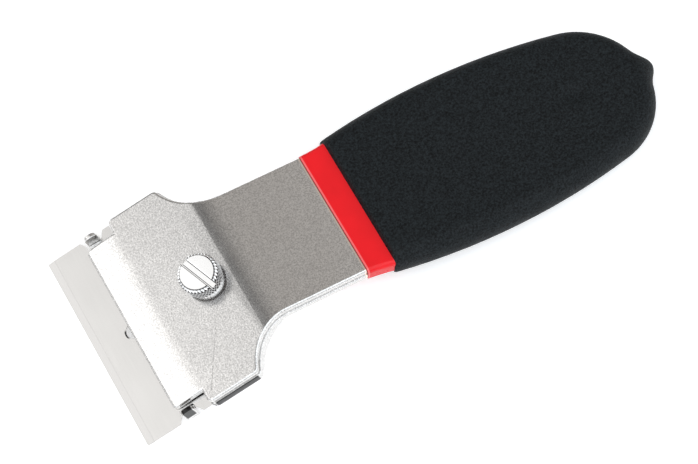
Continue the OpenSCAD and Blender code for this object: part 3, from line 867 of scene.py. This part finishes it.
class SCRAPER_OT_small_parts(bpy.types.Operator):
    """Makes the retaining clip, and gives the eyelet in the tails its material"""

    bl_idname = "scraper.small_parts"
    bl_label = "Clip and eyelet"

    def execute(self, context):
        clip = copy_of("retaining_clip", "retaining_clip_finished")
        round_edges(clip, context.scene.scraper_sizes.plate_edge / 2, segments=2)
        finish_piece(clip, screw_material(), "retaining_clip", "screw_chrome", "retaining_clip")
        eyelet = frame["nodes"]["tail_eyelet"]
        eyelet.data.materials.clear()
        eyelet.data.materials.append(plate_material())
        return {"FINISHED"}


# How far the coat's cavity is drawn out of its front, and the angle in degrees that shades smooth
CAVITY_REACH, COAT_SMOOTH = 1 * MM, 40


class SCRAPER_OT_undercoat(bpy.types.Operator):
    """Makes the red undercoat with rounded edges"""

    bl_idname = "scraper.undercoat"
    bl_label = "Undercoat"

    def execute(self, context):
        sizes = context.scene.scraper_sizes
        low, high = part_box("red_undercoat")
        coat = shell_of("red_undercoat", "red_undercoat_finished", True)
        swell_band(coat, low.x)
        bevel_edges(coat, along_level(low.x, high.z), sizes.coat_edge, segments=7)
        bevel_edges(coat, along_level(low.x, low.z), sizes.coat_edge / 2, segments=4)
        bevel_edges(coat, lambda a, b: max(a.x, b.x) < low.x + NEAR, sizes.coat_lip, segments=3)
        cavity = shell_of("red_undercoat", "coat_cavity", False)
        move_where(cavity, lambda place: place.x < low.x + NEAR, (-CAVITY_REACH, 0, 0))
        apply_modifier(
            coat, "BOOLEAN", "Cavity", operation="DIFFERENCE", solver="EXACT", object=cavity)
        bpy.data.objects.remove(cavity)
        shade_flats(coat, COAT_SMOOTH)
        material = red_material(context.scene.scraper_colours.red)
        finish_piece(coat, material, TOOL, "red_vinyl", "red_undercoat")
        return {"FINISHED"}


# The coat's inner faces in this zone point outward, round the eyelet's flange: half its width,
# and how far it stays from the front and from the end
RECESS_HALF, RECESS_FROM_FRONT, RECESS_FROM_END = 8 * MM, 1 * MM, 3 * MM


def shell_of(node, name, outer):
    """The outer skin of a hollow CAD node, or else its cavity, closed at the front."""
    obj = copy_of(node, name)
    low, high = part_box(node)
    centre = (low + high) / 2

    def unwanted(place, normal):
        between = low.x + RECESS_FROM_FRONT < place.x < high.x - RECESS_FROM_END
        in_recess = between and abs(normal.z) < SIDE_FACE and abs(place.y) < RECESS_HALF
        outside = normal.dot(place - centre) > 0 and not in_recess
        return outside != outer

    select_faces(obj, unwanted)
    bpy.ops.mesh.delete(type="FACE")
    bpy.ops.mesh.select_mode(type="EDGE")
    bpy.ops.mesh.select_all(action="DESELECT")
    bpy.ops.mesh.select_non_manifold()
    bpy.ops.mesh.edge_face_add()
    bpy.ops.mesh.select_all(action="SELECT")
    bpy.ops.mesh.normals_make_consistent(inside=False)
    join_flats(FLAT_IN_SHELL)
    bpy.ops.object.mode_set(mode="OBJECT")
    return obj


# Along the red band, as a share of its length: growth of its left and right sides
BAND_LENGTH = 4.7 * MM
BAND_SWELL = (
    (0.0, -0.15 * MM, 0.0),
    (0.33, -0.13 * MM, 0.14 * MM),
    (0.66, -0.06 * MM, 0.34 * MM),
    (1.0, 0.04 * MM, 0.52 * MM),
    (1.3, 0.02 * MM, 0.1 * MM),
    (3.0, 0.0, 0.0),
)


def swell_band(coat, front):
    """Makes the band grow thicker toward the grip, and more so on the side it drained to."""
    for share, left, right in BAND_SWELL[1:-1]:
        cut = (front + share * BAND_LENGTH, 0, 0)
        edit(coat, lambda: bpy.ops.mesh.bisect(plane_co=cut, plane_no=(1, 0, 0)))
    columns = sorted({round(v.co.x, 6) for v in coat.data.vertices})
    for x in columns:
        share = (x - front) / BAND_LENGTH
        for (start, *low), (end, *high) in zip(BAND_SWELL, BAND_SWELL[1:]):
            if start <= share + 0.001 < end:
                part = (share - start) / (end - start)
                growth = [a + (b - a) * part for a, b in zip(low, high)]
                for side, step in ((1, growth[0]), (-1, -growth[1])):
                    move_where(
                        coat, lambda place: abs(place.x - x) < NEAR / 10 and place.y * side > 0,
                        (0, step, 0))


def along_level(front, level):
    """A test for the edges that run back from the front at one level."""
    def test(a, b):
        crosses = a.y * b.y < 0 or max(a.x, b.x) < front + NEAR
        return max(abs(a.z - level), abs(b.z - level)) < NEAR and not crosses
    return test


# The grip's cavity ends this far above the coat
CAVITY_GAP = 0.1 * MM


class SCRAPER_OT_grip(bpy.types.Operator):
    """Makes the thick black grip with its drip and dimple"""

    bl_idname = "scraper.grip"
    bl_label = "Grip"

    def execute(self, context):
        grip = copy_of("black_grip", "black_grip_finished")
        low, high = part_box("black_grip")
        coat_low, coat_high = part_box("red_undercoat")
        centre = (low + high) / 2

        def in_cavity(place, normal):
            return place.z < coat_high.z + CAVITY_GAP and normal.dot(place - centre) < 0

        select_only(grip)
        select_faces(grip, in_cavity)
        bpy.ops.mesh.delete(type="FACE")
        bpy.ops.mesh.select_mode(type="EDGE")
        bpy.ops.mesh.select_all(action="DESELECT")
        bpy.ops.mesh.select_non_manifold()
        bpy.ops.mesh.edge_face_add()
        bpy.ops.object.mode_set(mode="OBJECT")
        grip.data.remesh_voxel_size = context.scene.scraper_sizes.grip_voxel
        grip.data.remesh_voxel_adaptivity = 0.0
        select_only(grip)
        bpy.ops.object.voxel_remesh()
        apply_modifier(grip, "SMOOTH", "Smooth", factor=0.5, iterations=6)
        select_only(grip)
        bpy.ops.object.shade_smooth()
        material = black_material(context.scene.scraper_colours.black)
        finish_piece(grip, material, TOOL, "black_vinyl", "black_grip")
        return {"FINISHED"}


class SCRAPER_OT_stage(bpy.types.Operator):
    """Adds the camera, the floor and the soft studio light"""

    bl_idname = "scraper.stage"
    bl_label = "Stage"

    def execute(self, context):
        add_camera(context)
        add_floor(context)
        add_light(context)
        return {"FINISHED"}


# Camera's sensor and lens in millimetres, its place in metres and its turn in degrees
SENSOR, LENS = 36, 161.203
CAMERA_PLACE = (-0.126933, -0.211254, 0.48176)
CAMERA_TURN = (26.8455, -0.7177, -28.3813)
# Side of the square floor in metres, and its glow as the camera and reflections see it
FLOOR_SIDE, FLOOR_GLOW = 4, 0.4
# The slope of the floor is taken from points at least this far behind the cutting edge
BEHIND_EDGE = 5 * MM


def add_camera(context):
    """Adds the camera where the photo was taken from."""
    data = bpy.data.cameras.new("Camera")
    data.sensor_width = SENSOR
    data.lens = LENS
    data.clip_start, data.clip_end = 0.01, 20
    camera = bpy.data.objects.new("Camera", data)
    context.scene.collection.objects.link(camera)
    camera.location = CAMERA_PLACE
    camera.rotation_euler = Euler([math.radians(a) for a in CAMERA_TURN])
    context.scene.camera = camera


def floor_slope():
    """Slope of the plane that touches the cutting edge and the underside of the handle."""
    low = CAD_BOX[0]
    slope = min(
        (v.co.z - low.z) / (v.co.x - low.x)
        for node in ("black_grip", "thumb_screw", "lower_plate", "retaining_clip")
        for v in frame["nodes"][node].data.vertices
        if v.co.x > low.x + BEHIND_EDGE
    )
    return math.atan(slope)


def add_floor(context):
    """Adds the pale floor that the tool lies on."""
    low = CAD_BOX[0]
    select_only(next(iter(frame["nodes"].values())))
    bpy.ops.mesh.primitive_grid_add(x_subdivisions=8, y_subdivisions=8, size=FLOOR_SIDE)
    floor = context.active_object
    floor.name = "floor"
    floor.rotation_euler = (0, -floor_slope(), 0)
    floor.location = (low.x, 0, low.z)
    material, n, bsdf = new_material("Floor")
    bsdf.inputs["Base Color"].default_value = (*context.scene.scraper_colours.floor, 1)
    bsdf.inputs["Roughness"].default_value = 0.9
    bsdf.inputs["Specular IOR Level"].default_value = 0.1
    path = n.add("ShaderNodeLightPath").outputs
    seen = calc(n, "ADD", path["Is Camera Ray"], path["Is Glossy Ray"])
    seen = calc(n, "ADD", seen, path["Is Transmission Ray"], clamp=True)
    bsdf.inputs["Emission Color"].default_value = (1, 1, 1, 1)
    n.link(calc(n, "MULTIPLY", seen, FLOOR_GLOW), bsdf.inputs["Emission Strength"])
    floor.data.materials.append(material)


# Sky brightness by direction: each stop is a part of the unit direction, and a colour
SKY_ALONG = (
    (-1.0, (1.0, 1.0, 1.0)),
    (-0.75, (1.4, 1.4, 1.4)),
    (-0.6, (1.8, 1.8, 1.8)),
    (-0.47, (1.5, 1.5, 1.49)),
    (-0.42, (1.27, 1.27, 1.26)),
    (-0.395, (1.08, 1.08, 1.08)),
    (-0.36, (0.62, 0.62, 0.62)),
    (-0.33, (0.24, 0.24, 0.24)),
    (-0.3, (0.12, 0.12, 0.12)),
    (-0.24, (0.14, 0.14, 0.14)),
    (-0.18, (0.21, 0.205, 0.2)),
    (-0.1, (0.29, 0.28, 0.27)),
    (0.0, (0.37, 0.36, 0.345)),
    (0.2, (0.47, 0.45, 0.43)),
    (0.6, (0.53, 0.51, 0.49)),
    (1.0, (0.6, 0.6, 0.6)),
)
SKY_ACROSS = (
    (-1.0, (1.2, 1.25, 1.3)),
    (-0.6, (1.6, 1.68, 1.75)),
    (-0.2, (1.6, 1.68, 1.75)),
    (0.15, (0.1, 0.1, 0.1)),
    (0.3, (0.0, 0.0, 0.0)),
    (1.0, (0.0, 0.0, 0.0)),
)
SKY_UP = (
    (-1.0, (0.2, 0.2, 0.2)),
    (0.05, (0.2, 0.2, 0.2)),
    (0.45, (1.0, 1.0, 1.0)),
    (1.0, (1.0, 1.0, 1.0)),
)


def sky_ramp(n, part, stops):
    """A colour for each value from -1 to 1 of one part of the direction."""
    place = n.add("ShaderNodeMapRange", {"Value": part, "From Min": -1.0, "From Max": 1.0})
    ramp = n.add("ShaderNodeValToRGB", {"Fac": place.outputs["Result"]})
    elements = ramp.color_ramp.elements
    while len(elements) < len(stops):
        elements.new(0.5)
    for element, (at, colour) in zip(elements, stops):
        element.position = (at + 1) / 2
        element.color = (*colour, 1)
    return ramp.outputs["Color"]


def add_light(context):
    """Adds the sky that the steel reflects; the camera itself sees white."""
    world = bpy.data.worlds.new("Studio")
    context.scene.world = world
    world.use_nodes = True
    n = Nodes(world.node_tree)
    background = world.node_tree.nodes["Background"]
    way = n.add("ShaderNodeTexCoord").outputs["Generated"]
    part = n.add("ShaderNodeSeparateXYZ", {0: way}).outputs
    along, across = sky_ramp(n, part["X"], SKY_ALONG), sky_ramp(n, part["Y"], SKY_ACROSS)
    sky = mix(n, 1.0, along, across, "LIGHTEN")
    sky = mix(n, 1.0, sky, sky_ramp(n, part["Z"], SKY_UP), "MULTIPLY")
    path = n.add("ShaderNodeLightPath")
    colour = mix(n, path.outputs["Is Camera Ray"], sky, (1, 1, 1, 1))
    n.link(colour, background.inputs["Color"])
    background.inputs["Strength"].default_value = 1.0
    context.scene.view_settings.view_transform = "Standard"


class SCRAPER_PT_panel(bpy.types.Panel):
    """Lists the scraper's pieces, sizes and colours"""

    bl_idname = "SCRAPER_PT_panel"
    bl_label = "Razor blade scraper"
    bl_space_type = "VIEW_3D"
    bl_region_type = "UI"
    bl_category = "Scraper"

    def draw(self, context):
        for group in (context.scene.scraper_sizes, context.scene.scraper_colours):
            rows = self.layout.column()
            for key in group.bl_rna.properties.keys():
                if key not in ("rna_type", "name"):
                    rows.prop(group, key)
        for operator in OPERATORS:
            self.layout.operator(operator.bl_idname)


OPERATORS = (
    SCRAPER_OT_stage,
    SCRAPER_OT_plates,
    SCRAPER_OT_blade,
    SCRAPER_OT_thumb_screw,
    SCRAPER_OT_small_parts,
    SCRAPER_OT_undercoat,
    SCRAPER_OT_grip,
)
CLASSES = (ScraperSizes, ScraperColours, *OPERATORS, SCRAPER_PT_panel)


def register():
    for c in CLASSES:
        bpy.utils.register_class(c)
    bpy.types.Scene.scraper_sizes = bpy.props.PointerProperty(type=ScraperSizes)
    bpy.types.Scene.scraper_colours = bpy.props.PointerProperty(type=ScraperColours)


def unregister():
    del bpy.types.Scene.scraper_colours
    del bpy.types.Scene.scraper_sizes
    for c in reversed(CLASSES):
        bpy.utils.unregister_class(c)


def main():
    register()
    bpy.ops.scraper.stage()
    bpy.ops.scraper.plates()
    bpy.ops.scraper.blade()
    bpy.ops.scraper.thumb_screw()
    bpy.ops.scraper.small_parts()
    bpy.ops.scraper.undercoat()
    bpy.ops.scraper.grip()


if __name__ == "__main__":
    main()
